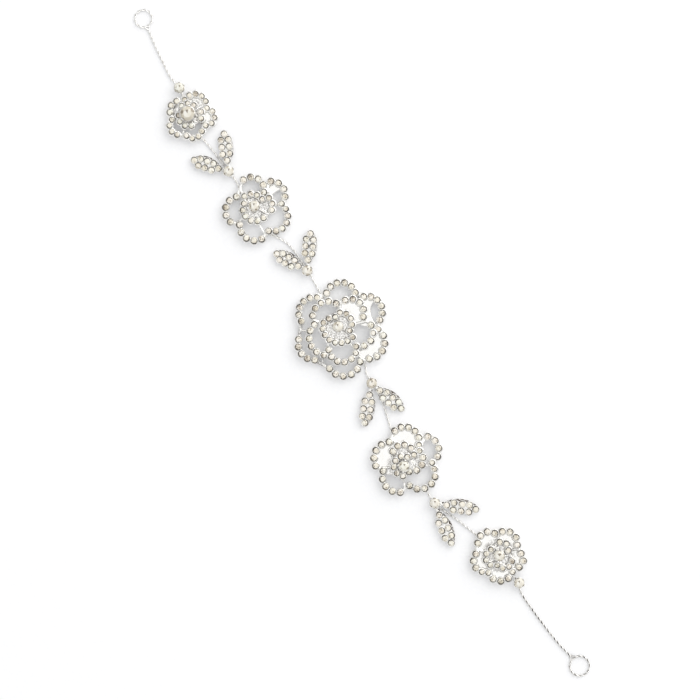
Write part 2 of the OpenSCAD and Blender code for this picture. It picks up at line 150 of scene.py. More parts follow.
# Leaves, as in the construction: place of the stem stone, then direction and length of
# each leaf, the side that rolls down, 1 or -1, and how far it does
LEAF_PAIRS = {
    "leaf_pair_1": [[-68.6, -4.7], [[153, 13.7, -1, 0.35], [217, 13.1, -1, 0.95]]],
    "leaf_pair_2": [[-28.3, -1.6], [[141, 13.5, -1, 0.35], [206, 12.6, -1, 0.95]]],
    "leaf_pair_3": [[12.9, -4.6], [[-43, 14.6, 1, 0.45], [16, 14.0, 1, 0.9]]],
    "leaf_pair_4": [[55.9, -9.3], [[48, 15.0, 1, 0.9], [-11, 15.6, 1, 0.8]]],
}
LEAF_W = 5.0
LEAF_START = 2.2
LEAF_TOP = 1.8

# Stones of a leaf: where single ones and pairs stand as shares of its length, how far the
# stones of a pair lie apart from its middle line, how far all shift off the side that rolls
# down as a share of the roll, their radius, and how far they rise over the leaf's top
LEAF_SINGLE = [0.26, 0.88]
LEAF_DOUBLE = [0.41, 0.58, 0.745]
LEAF_STONE_SIDE = 1.12
LEAF_SHIFT = 0.3
LEAF_STONE = 1.1 * MM
LEAF_STONE_RISE = 0.02

# The rolled side of a leaf. Shares are of its half width and heights are from the table. A
# pair is where an effect starts and where it is whole
LEAF_MARGIN = 0.3
TIP_MARGIN = 0.2
TOP_MARGIN = 0.2
ROLL_FROM = 0.33
ROLL_MOST = 1.1
ROLL_HEIGHTS = (0.7, 1.6)
ROLL_SHADE = 0.95
ROLL_SHADE_SHARES = (0.35, 0.8)
ROLL_SHADE_HEIGHTS = (0.5, 1.0)
BETWEEN_SHADE = 0.12
BETWEEN_SHARES = (0.1, 0.3)
BETWEEN_HEIGHTS = (1.2, 1.7)

# Wires, as in the construction. A loop has its middle, its bore and the end of its tail
WIRE_D = 0.9
WIRE_Z = 0.5
WIRE_ROUTES = {
    "wire_tail_a": [
        [-120.9, -0.6], [-115.5, -1.7], [-109.6, -2.6], [-104.4, -3.3], [-99.4, -2.9],
        [-94.3, -4.0],
    ],
    "wire_link_1": [[-84.3, -6.2], [-78, -5.3], [-68.6, -4.7], [-64.4, -4.6], [-60.6, -5.4]],
    "wire_link_2": [[-46.4, -6.2], [-39.0, -2.0], [-28.3, -1.6], [-18.1, -2.3]],
    "wire_link_3": [
        [4.7, -2.1], [7.3, -3.2], [9.5, -4.3], [12.9, -4.6], [18.4, -4.9], [23.9, -6.3],
        [31.8, -8.8],
    ],
    "wire_link_4": [[49.4, -9.0], [55.9, -9.3], [65.4, -6.1], [73.7, -3.4]],
    "wire_tail_b": [
        [87.4, -2.2], [92.0, -1.2], [94.9, -2.4], [100.4, -2.5],
        [105.9, -2.3], [111.1, -2.0], [116.1, -1.5], [121.1, -0.6],
    ],
}
LOOPS = {
    "wire_tail_a": ([-124.5, 0], 4.6, [-120.9, -0.6]),
    "wire_tail_b": ([125.1, 0], 5.4, [121.1, -0.6]),
}

# Twisted strands, and the two that spread from the end of a tail to its loop
TWIST_PITCH = 3.3
STRAND_D = 0.38
NECK_STRAND = 0.5
NECK_SPREAD = 38
NECK_BACK = 0.5

# Fineness of the wires: sides of a tube, the step along it, and how many steps a span of a
# route, a twist of a loop and a neck take
TUBE_SIDES = 8
TUBE_STEP = 0.2
SPAN_STEPS = 60
TWIST_STEPS = 14
NECK_STEPS = 9

# Shade in the groove of each tail and of the links, a loop's share of its tail's shade, and
# what is the same all round a strand and what the side of the groove adds
GROOVE_SHADE = {"wire_tail_a": 0.1, "wire_tail_b": 1.0}
LINK_SHADE = 0.05
LOOP_SHARE = 0.5
GROOVE_SIDE = (0.15, 1.2)

STONE_OF_CASTING = {f"rose_{n}_setting": f"rose_{n}_centre_stone" for n in range(1, 6)}
STONE_OF_CASTING |= {f"leaf_pair_{n}": f"leaf_stone_{n}" for n in range(1, 5)}
STONE_OF_CASTING |= {f"end_setting_{n}": f"end_stone_{n}" for n in "ab"}

# Stones of one piece: where each girdle's middle stands, its radius, its turn about Z, its
# lean, the direction that it leans to, and how strong its painted shade is
Stones = namedtuple("Stones", "middle radius turn lean towards drawn")

random = np.random.default_rng(12)


def placed(at):
    """A place of the construction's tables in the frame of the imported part, in metres."""
    return (np.asarray(at, float) - BOX_MIDDLE) * MM


# Meshes

def piece(name, places, faces, material, smooth, marks):
    """A new piece: its corners, its faces as arrays of corner numbers, its finish and its marks.

    marks is {attribute name: ("POINT" or "FACE", one value for each corner or face)}.
    """
    mesh = bpy.data.meshes.new(name)
    corners = np.concatenate([np.asarray(f).reshape(-1) for f in faces])
    sides = np.concatenate([np.full(len(f), f.shape[1]) for f in faces])
    mesh.vertices.add(len(places))
    mesh.vertices.foreach_set("co", np.asarray(places, np.float32).reshape(-1))
    mesh.loops.add(len(corners))
    mesh.loops.foreach_set("vertex_index", corners.astype(np.int32))
    mesh.polygons.add(len(sides))
    mesh.polygons.foreach_set("loop_start", (np.cumsum(sides) - sides).astype(np.int32))
    mesh.polygons.foreach_set("use_smooth", np.full(len(sides), smooth))
    mesh.update(calc_edges=True)
    mesh.validate()
    for mark, (domain, values) in marks.items():
        kept = mesh.attributes.new(mark, "FLOAT", domain)
        kept.data.foreach_set("value", np.asarray(values, np.float32).reshape(-1))
    mesh.materials.append(material)
    made = bpy.data.objects.new(name, mesh)
    bpy.context.scene.collection.objects.link(made)
    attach(made, "root")
    return made


def repeated(faces, corners, times):
    """The faces of one shape with that many corners, once for each of its copies."""
    step = np.arange(times)[:, None, None] * corners
    return [(f[None] + step).reshape(-1, f.shape[1]) for f in faces]


def leaning(turn, lean, towards):
    """Rotations that turn a shape about Z, then lean it by an angle towards a direction.

    Rodrigues' formula about the level axis that stands across the direction of the lean.
    """
    turn, lean, towards = (np.asarray(v, float) for v in (turn, lean, towards))
    nought = np.zeros_like(turn)
    spin = np.stack([
        np.stack([np.cos(turn), -np.sin(turn), nought], -1),
        np.stack([np.sin(turn), np.cos(turn), nought], -1),
        np.stack([nought, nought, nought + 1], -1),
    ], -2)
    x, y = -np.sin(towards), np.cos(towards)
    c, s = np.cos(lean), np.sin(lean)
    tip = np.stack([
        np.stack([c + x * x * (1 - c), x * y * (1 - c), y * s], -1),
        np.stack([x * y * (1 - c), c + y * y * (1 - c), -x * s], -1),
        np.stack([-y * s, x * s, c], -1),
    ], -2)
    return tip @ spin


def grid_faces(rows, columns, rows_close, columns_close):
    """Four-cornered faces of a grid of places, kept row by row."""
    i = np.arange(rows if rows_close else rows - 1)[:, None]
    j = np.arange(columns if columns_close else columns - 1)[None]
    a = i * columns + j
    b = (i + 1) % rows * columns + j
    c = (i + 1) % rows * columns + (j + 1) % columns
    d = i * columns + (j + 1) % columns
    return np.stack([a, b, c, d], -1).reshape(-1, 4)


# Stones

def ring_places(sides, radius, height, offset=0.0):
    """Places round a circle, the first one turned by offset sides."""
    a = (np.arange(sides) + offset) * TURN / sides
    return np.stack([radius * np.cos(a), radius * np.sin(a), np.full(sides, height)], -1)


def crystal_shape(table_r, table_z, kite_r, kite_z, girdle_z, culet_z):
    """A round brilliant of girdle radius 1, cut with eight sides.

    Rings of corners stand at the table, the points of the kites and the girdle, with one
    corner in the middle of the table and one at the culet. The table is kept as eight
    wedges, because the facets under it show through it as a star.
    """
    places = np.concatenate([
        [[0, 0, table_z]],
        ring_places(CUT, table_r, table_z),
        ring_places(CUT, kite_r, kite_z, 0.5),
        ring_places(2 * CUT, 1.0, girdle_z),
        [[0, 0, culet_z]],
    ])
    table, kite, girdle, culet = 1, 1 + CUT, 1 + 2 * CUT, 1 + 4 * CUT
    k = np.arange(CUT)
    after = (k + 1) % CUT
    g = np.arange(2 * CUT)
    triangles = np.concatenate([
        np.stack([0 * k, table + k, table + after], -1),
        np.stack([table + k, kite + k, table + after], -1),
        np.stack([kite + k, girdle + 2 * k, girdle + 2 * k + 1], -1),
        np.stack([kite + k, girdle + 2 * k + 1, girdle + (2 * k + 2) % (2 * CUT)], -1),
        np.stack([girdle + (g + 1) % (2 * CUT), girdle + g, culet + 0 * g], -1),
    ])
    kites = np.stack([table + k, kite + (k - 1) % CUT, girdle + 2 * k, kite + k], -1)
    return places, [triangles, kites]


SMALL_SHAPE = crystal_shape(
    table_r=0.54, table_z=0.34, kite_r=0.79, kite_z=0.23, girdle_z=0.02, culet_z=-0.32
)
LARGE_SHAPE = crystal_shape(
    table_r=0.56, table_z=LARGE_TABLE, kite_r=0.78, kite_z=0.24, girdle_z=0.01, culet_z=-0.8
)


def carried(places, stones):
    """A shape's places at each stone: turned and leaned, times its radius, plus its middle."""
    rotation = leaning(stones.turn, stones.lean, stones.towards)
    turned = places @ rotation.transpose(0, 2, 1)
    return stones.middle[:, None] + stones.radius[:, None, None] * turned


def facing(places, stones):
    """For each stone and place: how far the place looks to the side that the stone leans to.

    It is the cosine of the level angle between the two, 1 on that side and -1 away from it.
    """
    way = np.arctan2(places[:, 1], places[:, 0])
    return np.cos(way[None] + (stones.turn - stones.towards)[:, None])


def sided(side, strength):
    """A strength from 0 to 1: a share all round, plus another share times side."""
    all_round, added = strength
    return np.clip(all_round + added * side, 0, 1)


def facet_tones(shape, stones, dark_share, lean_shade, glint):
    """A tone for each facet of each stone, out of the range of its kind: a painted reflection.

    Single facets are dark, each table is dimmed or lit by a share of its own, and a few
    stones are dark all over. On the side that a stone leans to, the tone falls with the
    distance from its middle, as painted shade. With a glint, a painted highlight, the table
    is bright towards one side of the picture, and the wedges that look to another side are
    painted dark as a reflection.
    """
    places, faces = shape
    kinds = np.repeat(FACET_KINDS[:, 1:], FACET_KINDS[:, 0].astype(int), axis=0)
    least, most = kinds.T
    times = len(stones.radius)
    tone = least + (most - least) * random.random((times, len(kinds)))
    tone = np.where(random.random(tone.shape) < dark_share, DARK_FACET * tone, tone)
    tone[:, :CUT] *= random.uniform(*TABLE_TONES, (times, 1))
    tone *= np.where(random.random((times, 1)) < DARK_STONES, DARK_STONE, 1.0)
    centres = np.concatenate([places[f].mean(axis=1) for f in faces])
    out = np.hypot(centres[:, 0], centres[:, 1])
    leaned = sided(out * facing(centres, stones), LEAN_SHADE_SIDE)
    tone *= 1 - lean_shade * stones.drawn[:, None] * leaned
    # Painted highlight on one side of the table, and painted dark reflection in one wedge
    if glint:
        way = stones.turn[:, None] + (np.arange(CUT) + 0.5) * TURN / CUT
        tone[:, :CUT] = sided(np.cos(way - GLINT_WAY), GLINT_TONE)
        tone[:, :CUT][np.cos(way - WEDGE_WAY) > WEDGE_NEAR] = WEDGE_TONE
    return tone


def edge_shades(places, stones):
    """How strongly each corner of each stone is darkened by the painted shade line.

    The line runs all round the girdle. It is stronger on the side that the stone leans to,
    where it also reaches the points of the kites.
    """
    reach = np.hypot(places[:, 0], places[:, 1])
    on_girdle = reach > 0.99
    on_kites = (reach > 0.7) & ~on_girdle
    side = facing(places, stones)
    line = on_girdle * sided(side, GIRDLE_SIDE) + on_kites * sided(side, KITE_SIDE)
    return stones.drawn[:, None] * line


def crystals(name, stones, shape, material, slot, dark_share, least_tint, lean_shade, glint):
    """One piece of faceted stones: painted reflection a facet, a tint a stone, painted edge shade.
    """
    places, faces = shape
    times = len(stones.radius)
    tone = facet_tones(shape, stones, dark_share, lean_shade, glint)
    tint = least_tint + (1 - least_tint) * random.random(times)
    kinds = np.split(tone, [len(faces[0])], axis=1)
    marks = {
        "facet": ("FACE", np.concatenate([kind.reshape(-1) for kind in kinds])),
        "tint": ("FACE", np.concatenate([np.repeat(tint, len(f)) for f in faces])),
        "edge_shade": ("POINT", edge_shades(places, stones)),
    }
    corners = carried(places, stones).reshape(-1, 3)
    return piece(name, corners, repeated(faces, len(places), times), material, False, marks)


def rim_rings(name, stones):
    """A rolled rim round each stone: a closed profile of radius and height, turned about Z.

    The profile is in stone radii. Its third column says how deep in shade each of its
    points lies, and the shade is deeper on the side that the stone leans to.
    """
    a = np.arange(RIM_SIDES) * TURN / RIM_SIDES
    level = np.stack([np.cos(a), np.sin(a), 0 * a], -1)
    radius, height, share = RIM_PROFILE.T
    ring = radius[None, :, None] * level[:, None] + height[None, :, None] * [0, 0, 1]
    ring = ring.reshape(-1, 3)
    side = stones.drawn[:, None] * sided(facing(level, stones), RIM_SIDE)
    marks = {"shade": ("POINT", side[:, :, None] * share)}
    faces = [grid_faces(RIM_SIDES, len(RIM_PROFILE), True, True)]
    faces = repeated(faces, len(ring), len(stones.radius))
    corners = carried(ring, stones).reshape(-1, 3)
    return piece(name, corners, faces, RIM_SILVER, True, marks)


def loose_stones(name):
    """Middles and top heights of the loose stones of one node of the part.

    Each corner takes the lowest number among the corners that it shares a face with, until
    none changes, and the corners that end with one number are one stone.
    """
    mesh = NODES[name].data
    corners = np.empty(3 * len(mesh.vertices), np.float32)
    mesh.vertices.foreach_get("co", corners)
    steps = np.round(corners.reshape(-1, 3) / WELD)
    welded, number = np.unique(steps, axis=0, return_inverse=True)
    welded = welded * WELD
    index = np.empty(len(mesh.loops), np.int32)
    mesh.loops.foreach_get("vertex_index", index)
    triangles = number.reshape(-1)[index].reshape(-1, 3)
    label = np.arange(len(welded))
    before = None
    while before is None or (before != label).any():
        before = label.copy()
        np.minimum.at(label, triangles, before[triangles].min(axis=1, keepdims=True))
    stones, which = np.unique(label, return_inverse=True)
    which = which.reshape(-1)
    count = np.bincount(which)
    middle = np.stack([np.bincount(which, welded[:, k]) / count for k in range(2)], -1)
    top = np.full(len(stones), -np.inf)
    np.maximum.at(top, which, welded[:, 2])
    return middle, top


# Materials

# Colours of the painted shade and tarnish in hollows, of the painted shade low down near
# the table, and of the painted shade line round a stone
SHADE_AND_TARNISH = (0.07, 0.05, 0.038)
LOW_SHADE_COLOUR = (0.42, 0.36, 0.30)
EDGE_SHADE_COLOUR = (0.022, 0.016, 0.01)

# Colour of a facet by its tone, which is painted reflection, and of a stone by its tint
FACET_REFLECTION = [
    (0.0, (0.12, 0.09, 0.07)), (0.16, (0.38, 0.33, 0.26)), (0.32, (0.76, 0.71, 0.61)),
    (0.55, (0.95, 0.92, 0.85)), (1.0, (1.0, 1.0, 0.98)),
]
WARMTH = [
    (0.0, (0.78, 0.745, 0.66)), (0.4, (1.0, 0.975, 0.90)), (0.7, (1.0, 0.965, 0.92)),
    (1.0, (1.0, 1.0, 0.94)),
]

# The metal's rubs, the height of its grain, and that of chasing against the grain's
RUBBING = 0.35
RELIEF = 0.03 * MM
CHASING = 30.0


def node(tree, kind, inputs=None, **settings):
    """A shader node with its settings, its inputs set or linked, by name or number."""
    made = tree.nodes.new(kind)
    for key, value in settings.items():
        setattr(made, key, value)
    for key, value in (inputs or {}).items():
        if isinstance(value, bpy.types.NodeSocket):
            tree.links.new(value, made.inputs[key])
        else:
            made.inputs[key].default_value = value
    return made


def sums(tree, operation, *values):
    """The value that a Math node makes of its inputs."""
    made = node(tree, "ShaderNodeMath", dict(enumerate(values)), operation=operation)
    return made.outputs[0]


def ramp(tree, value, stops):
    """The colour of a ramp whose stops are (place, colour)."""
    made = node(tree, "ShaderNodeValToRGB", {0: value})
    while len(made.color_ramp.elements) < len(stops):
        made.color_ramp.elements.new(0.5)
    for element, (place, colour) in zip(made.color_ramp.elements, stops):
        element.position = place
        element.color = (*colour, 1)
    return made.outputs[0]


def mixed(tree, share, first, second, blend="MIX"):
    """Two colours mixed by a share."""
    made = node(tree, "ShaderNodeMix", data_type="RGBA", blend_type=blend)
    for number, value in ((0, share), (6, first), (7, second)):
        if isinstance(value, bpy.types.NodeSocket):
            tree.links.new(value, made.inputs[number])
        else:
            made.inputs[number].default_value = value if number == 0 else (*value, 1)
    return made.outputs[2]


def spread(tree, value, low, high, to_low=0.0, to_high=1.0):
    """A value moved smoothly from one range to another, and held at its ends."""
    made = node(
        tree, "ShaderNodeMapRange", {0: value, 1: low, 2: high, 3: to_low, 4: to_high},
        interpolation_type="SMOOTHSTEP",
    )
    return made.outputs[0]


def effect(name, inputs, outputs):
    """An empty shader node group with named inputs and outputs."""
    tree = bpy.data.node_groups.new(name, "ShaderNodeTree")
    for label, kind, value in inputs:
        socket = tree.interface.new_socket(label, in_out="INPUT", socket_type=kind)
        socket.default_value = value
    for label, kind in outputs:
        tree.interface.new_socket(label, in_out="OUTPUT", socket_type=kind)
    return tree, tree.nodes.new("NodeGroupInput"), tree.nodes.new("NodeGroupOutput")


def cast_grain():
    """Grain of cast and tumbled metal: soft hollows, fine grain and hairline rubs."""
    tree, given, made = effect(
        "cast grain",
        [("Grains per mm", "NodeSocketFloat", 4.0), ("Rubbing", "NodeSocketFloat", 0.4)],
        [
            ("Tone", "NodeSocketFloat"),
            ("Roughness", "NodeSocketFloat"),
            ("Height", "NodeSocketFloat"),
        ],
    )
    where = node(tree, "ShaderNodeTexCoord").outputs["Object"]
    scale = sums(tree, "MULTIPLY", given.outputs["Grains per mm"], 1 / MM)
    broad = node(tree, "ShaderNodeTexNoise", {"Vector": where, "Scale": 420.0, "Detail": 2.0})
    fine = node(tree, "ShaderNodeTexNoise", {"Vector": where, "Scale": scale, "Detail": 3.0})
    hairline = {"Vector": where, "Scale": 2600.0, "Detail": 1.0, "Distortion": 2.5}
    rubs = spread(tree, node(tree, "ShaderNodeTexNoise", hairline).outputs[0], 0.52, 0.66)
    rub = sums(tree, "MULTIPLY", rubs, given.outputs["Rubbing"])
    tone = sums(tree, "MULTIPLY_ADD", broad.outputs[0], 0.5, 0.25)
    tree.links.new(sums(tree, "MULTIPLY_ADD", rub, -0.3, tone), made.inputs["Tone"])
    rough = sums(tree, "MULTIPLY_ADD", fine.outputs[0], 0.55, rub)
    tree.links.new(rough, made.inputs["Roughness"])
    height = sums(tree, "MULTIPLY_ADD", broad.outputs[0], 1.6, fine.outputs[0])
    tree.links.new(height, made.inputs["Height"])
    return tree


def shaded_hollows():
    """Painted shade and tarnish in uneven chased hollows, and painted shade low near the table."""
    tree, given, made = effect(
        "shaded hollows",
        [
            ("Metal", "NodeSocketColor", (1, 1, 1, 1)),
            ("Mottles per m", "NodeSocketFloat", 1900.0),
            ("Low shade height", "NodeSocketFloat", 2.2 * MM),
        ],
        [("Color", "NodeSocketColor"), ("Height", "NodeSocketFloat")],
    )
    metal, mottles, low_shade_height = given.outputs[:3]
    where = node(tree, "ShaderNodeTexCoord").outputs["Object"]
    height = node(tree, "ShaderNodeSeparateXYZ", {0: where}).outputs[2]
    # Painted shade: the metal darkens low down near the table
    low_shade = spread(tree, height, low_shade_height, 0.1 * MM)
    colour = mixed(tree, sums(tree, "MULTIPLY", low_shade, 0.12), metal, LOW_SHADE_COLOUR)
    # Painted shade and tarnish where the shade mark lies, made uneven by a mottle
    recess = node(tree, "ShaderNodeAttribute", attribute_name="shade").outputs["Fac"]
    mottle = node(tree, "ShaderNodeTexNoise", {"Vector": where, "Scale": mottles, "Detail": 1.5})
    uneven = spread(tree, mottle.outputs[0], 0.3, 0.7, 2.1, 0.1)
    hollow = node(
        tree, "ShaderNodeMath", {0: recess, 1: uneven}, operation="MULTIPLY", use_clamp=True
    ).outputs[0]
    tree.links.new(mixed(tree, hollow, colour, SHADE_AND_TARNISH), made.inputs["Color"])
    chased = sums(tree, "MULTIPLY", sums(tree, "MULTIPLY", mottle.outputs[0], recess), CHASING)
    tree.links.new(chased, made.inputs["Height"])
    return tree


def silver(name, bright, dull, smooth, bump, low_shade_height, mottles):
    """Bright plated silver, cast grain, dull in places, painted shade and tarnish in hollows."""
    made = bpy.data.materials.new(name)
    made.use_nodes = True
    tree = made.node_tree
    metal = tree.nodes["Principled BSDF"]
    worn = node(tree, "ShaderNodeGroup", node_tree=GRAIN)
    worn.inputs["Rubbing"].default_value = RUBBING
    hollows = node(tree, "ShaderNodeGroup", node_tree=HOLLOWS)
    plated = ramp(tree, worn.outputs["Tone"], [(0.25, dull), (0.62, bright)])
    tree.links.new(plated, hollows.inputs["Metal"])
    hollows.inputs["Mottles per m"].default_value = mottles
    hollows.inputs["Low shade height"].default_value = low_shade_height
    tree.links.new(hollows.outputs["Color"], metal.inputs["Base Color"])
    rough = spread(tree, worn.outputs["Roughness"], 0.1, 0.75, smooth, smooth + 0.16)
    tree.links.new(rough, metal.inputs["Roughness"])
    height = sums(tree, "ADD", worn.outputs["Height"], hollows.outputs["Height"])
    relief = node(tree, "ShaderNodeBump", {"Height": height, "Strength": bump, "Distance": RELIEF})
    tree.links.new(relief.outputs[0], metal.inputs["Normal"])
    metal.inputs["Metallic"].default_value = 1.0
    return made


def crystal(name, edge_shade, full, clear):
    """Foil-backed crystal: every facet shows its own part of the star under the table, as a
    painted reflection.

    The painted shade line round a stone starts where its edge mark passes the first level
    given, and is darkest from full on.
    """
    made = bpy.data.materials.new(name)
    made.use_nodes = True
    tree = made.node_tree
    glass = tree.nodes["Principled BSDF"]
    facet, tint, reach = (
        node(tree, "ShaderNodeAttribute", attribute_name=mark).outputs["Fac"]
        for mark in ("facet", "tint", "edge_shade")
    )
    # The body colour is each facet's painted reflection, times the stone's tint
    body = mixed(tree, 1.0, ramp(tree, facet, FACET_REFLECTION), ramp(tree, tint, WARMTH), "MULTIPLY")
    # Painted shade: each stone darkens to the line colour towards its edge
    colour = mixed(tree, spread(tree, reach, edge_shade, full), body, EDGE_SHADE_COLOUR)
    tree.links.new(colour, glass.inputs["Base Color"])
    glass.inputs["Roughness"].default_value = 0.04
    glass.inputs["IOR"].default_value = 1.6
    glass.inputs["Transmission Weight"].default_value = clear
    glass.inputs["Coat Weight"].default_value = 1.0
    glass.inputs["Coat Roughness"].default_value = 0.02
    return made


GRAIN = cast_grain()
HOLLOWS = shaded_hollows()
CAST_SILVER = silver(
    "cast silver", bright=(0.98, 0.975, 0.955), dull=(0.9, 0.885, 0.85),
    smooth=0.07, bump=0.25, low_shade_height=2.2 * MM, mottles=1900,
)
RIM_SILVER = silver(
    "rolled silver rim", bright=(0.95, 0.94, 0.915), dull=(0.82, 0.805, 0.765),
    smooth=0.05, bump=0.1, low_shade_height=1.2 * MM, mottles=700,
)
WIRE_SILVER = silver(
    "drawn silver wire", bright=(0.98, 0.975, 0.96), dull=(0.84, 0.82, 0.79),
    smooth=0.1, bump=0.2, low_shade_height=0.5 * MM, mottles=500,
)
SMALL_CRYSTAL = crystal("small crystal", edge_shade=0.03, full=0.2, clear=0.08)
LARGE_CRYSTAL = crystal("large crystal", edge_shade=0.35, full=0.95, clear=0.15)


# Castings

def tumbled(packed):
    """Corners, their normals and the faces of a casting with its edges worn round.

    The shape is the casting's own, rebuilt on a fine cubic grid and then relaxed: each
    corner moves part of the way to the middle of its neighbours.
    """
    rough = bpy.data.objects.new("rough casting", packed.data.copy())
    bpy.context.scene.collection.objects.link(rough)
    rough.modifiers.new("join the triangles", "WELD").merge_threshold = WELD
    grid = rough.modifiers.new("rebuild", "REMESH")
    grid.mode = "VOXEL"
    grid.voxel_size = CASTING_GRAIN
    relaxed = rough.modifiers.new("tumble", "SMOOTH")
    relaxed.factor = 0.5
    relaxed.iterations = 3
    finished = rough.evaluated_get(bpy.context.evaluated_depsgraph_get())
    mesh = bpy.data.meshes.new_from_object(finished)
    places = np.empty(3 * len(mesh.vertices), np.float32)
    mesh.vertices.foreach_get("co", places)
    normals = np.empty(3 * len(mesh.vertices), np.float32)
    mesh.vertex_normals.foreach_get("vector", normals)
    corners = np.empty(len(mesh.loops), np.int32)
    mesh.loops.foreach_get("vertex_index", corners)
    bpy.data.objects.remove(rough)
    bpy.data.meshes.remove(mesh)
    return places.reshape(-1, 3).astype(float), normals.reshape(-1, 3), corners.reshape(-1, 4)


def smooth_step(value, low, high):
    """0 below low, 1 above high, and three f squared less two f cubed between them."""
    f = np.clip((value - low) / (high - low), 0, 1)
    return f * f * (3 - 2 * f)


def fading(distance, reach):
    """1 up to the first distance of reach, and smoothly down to 0 at the second."""
    whole, gone = reach
    return smooth_step(-distance, -gone, -whole)


def leaf_half_width(s, length):
    """Half the width of a leaf at s along it: the lens between two equal round edges."""
    half = (length - LEAF_START) / 2
    edge_r = (half**2 + LEAF_W**2 / 4) / LEAF_W
    off = np.clip(s - LEAF_START - half, -half, half)
    return np.sqrt(edge_r**2 - off**2) - (edge_r - LEAF_W / 2)


def rolled_leaves(name, places):
    """The leaves of one pair with one side rolled down, and their shade.

    With u the share of the half width towards that side, the top sinks by the roll times
    the square of how far u is past a third of the way. Shade gathers down the rolled side,
    and a little of it lies between the stones.
    """
    at, leaves = LEAF_PAIRS[name]
    places, shade = places.copy(), np.zeros(len(places))
    height = places[:, 2] / MM
    flat = (places[:, :2] - placed(at)) / MM
    for direction, length, side, roll in leaves:
        a = math.radians(direction)
        s = flat @ [math.cos(a), math.sin(a)]
        t = side * (flat @ [-math.sin(a), math.cos(a)])
        half = leaf_half_width(s, length)
        inside = (s > LEAF_START) & (s < length + TIP_MARGIN) & (np.abs(t) < half + LEAF_MARGIN)
        inside &= height < LEAF_TOP + TOP_MARGIN
        u = t / np.maximum(half, LEAF_MARGIN)
        sunk = roll * np.clip((u - ROLL_FROM) / (1 - ROLL_FROM), 0, ROLL_MOST) ** 2
        places[:, 2] -= inside * sunk * smooth_step(height, *ROLL_HEIGHTS) * MM
        rolled = ROLL_SHADE * roll * smooth_step(u, *ROLL_SHADE_SHARES)
        rolled *= smooth_step(height, *ROLL_SHADE_HEIGHTS)
        between = BETWEEN_SHADE * smooth_step(1 - np.abs(u), *BETWEEN_SHARES)
        between *= smooth_step(height, *BETWEEN_HEIGHTS)
        shade = np.where(inside, np.maximum(rolled, between), shade)
    return places, shade


def fuller_cups(places, normals, stones, heart):
    """The cups of a rose, swollen sideways round their stones, and the shade round these.

    The swelling is greatest at the height of the rims. The open floors stay polished, and
    the heart of the rose lies in a light shade.
    """
    middle, top = stones
    apart = np.linalg.norm(places[:, None, :2] - middle[None], axis=-1)
    nearest = apart.argmin(axis=1)
    reach = apart[np.arange(len(places)), nearest]
    under = top[nearest] - places[:, 2]
    share = fading(reach, SWELL_REACH) * fading(under, SWELL_DEPTH)
    places = places.copy()
    places[:, :2] += (CUP_SWELL * share)[:, None] * normals[:, :2]
    shade = CUP_SHADE * fading(reach, CUP_SHADE_REACH)
    inwards = np.linalg.norm(places[:, :2] - heart, axis=1)
    shade = np.maximum(shade, HEART_SHADE * fading(inwards, HEART_REACH))
    # Painted shade on two ties in the large rose's valley
    for place in SHADED_TIES:
        apart = np.linalg.norm(places[:, :2] - placed(place), axis=1)
        shade = np.maximum(shade, TIE_SHADE * fading(apart, TIE_REACH))
    return places, shade


def shaded_setting(places, shade, stone):
    """The cup round a large stone in shade, up to the claws, which stay bright."""
    middle, radius, girdle = stone
    reach = np.linalg.norm(places[:, :2] - middle, axis=1) - radius
    cup = fading(reach, SETTING_REACH) * (places[:, 2] > girdle - SETTING_DEPTH)
    under_claws = smooth_step(girdle + CLAW_RISE - places[:, 2], 0, CLAW_FADE)
    return np.maximum(shade, SETTING_SHADE * cup * under_claws)


def soft_castings():
    """Each packed casting, worn round, with its cups and leaves in their cast shape."""
    for name in STONE_OF_CASTING:
        places, normals, quads = tumbled(NODES[name])
        shade = np.zeros(len(places))
        if name.startswith("leaf_pair"):
            places, shade = rolled_leaves(name, places)
        if name.startswith("rose"):
            stones = STONES[name.replace("setting", "stones")]
            places, shade = fuller_cups(places, normals, stones, LARGE_STONES[name][0])
        shade = shaded_setting(places, shade, LARGE_STONES[name])
        made = piece(
            name.replace("setting", "casting").replace("leaf_pair", "leaf_casting"),
            places, [quads], CAST_SILVER, True, {"shade": ("POINT", shade)},
        )
        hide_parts(name)


# Fields of stones

def rose_fields():
    """Stones and rims of each rose, where its loose stones stand, leaning outwards."""
    for number in range(1, 6):
        node_name = f"rose_{number}_stones"
        middle, top = STONES[node_name]
        times = len(middle)
        heart = middle.mean(axis=0)
        outwards = np.arctan2(middle[:, 1] - heart[1], middle[:, 0] - heart[0])
        apart = np.linalg.norm(middle[:, None] - middle[None], axis=-1) + np.eye(times)
        radius = np.clip(STONE_SHARE * apart.min(axis=1), STONE_LEAST, STONE_RADIUS)
        lean = np.radians(random.uniform(*ROSE_LEAN, times))
        towards = outwards + random.uniform(*ROSE_STRAY, times)
        turn = random.uniform(0, TURN, times)
        drawn = random.uniform(*ROSE_SHADE_STRENGTH, times)
        girdle = np.column_stack([middle, top - GIRDLE_UNDER_TABLE])
        stones = Stones(girdle, radius, turn, lean, towards, drawn)
        crystal_name = f"rose_{number}_crystals"
        made = crystals(
            crystal_name, stones, SMALL_SHAPE, SMALL_CRYSTAL, "small_crystal", **ROSE_FIRE
        )
        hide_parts(node_name)
        rim_rings(f"rose_{number}_rims", stones)


def large_stone(name):
    """Where a large stone's girdle stands, and its radius: middle, radius and height."""
    low, high = (np.array(v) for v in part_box(name))
    radius = (high[0] - low[0]) / 2
    return (low[:2] + high[:2]) / 2, radius, high[2] - LARGE_TABLE * radius


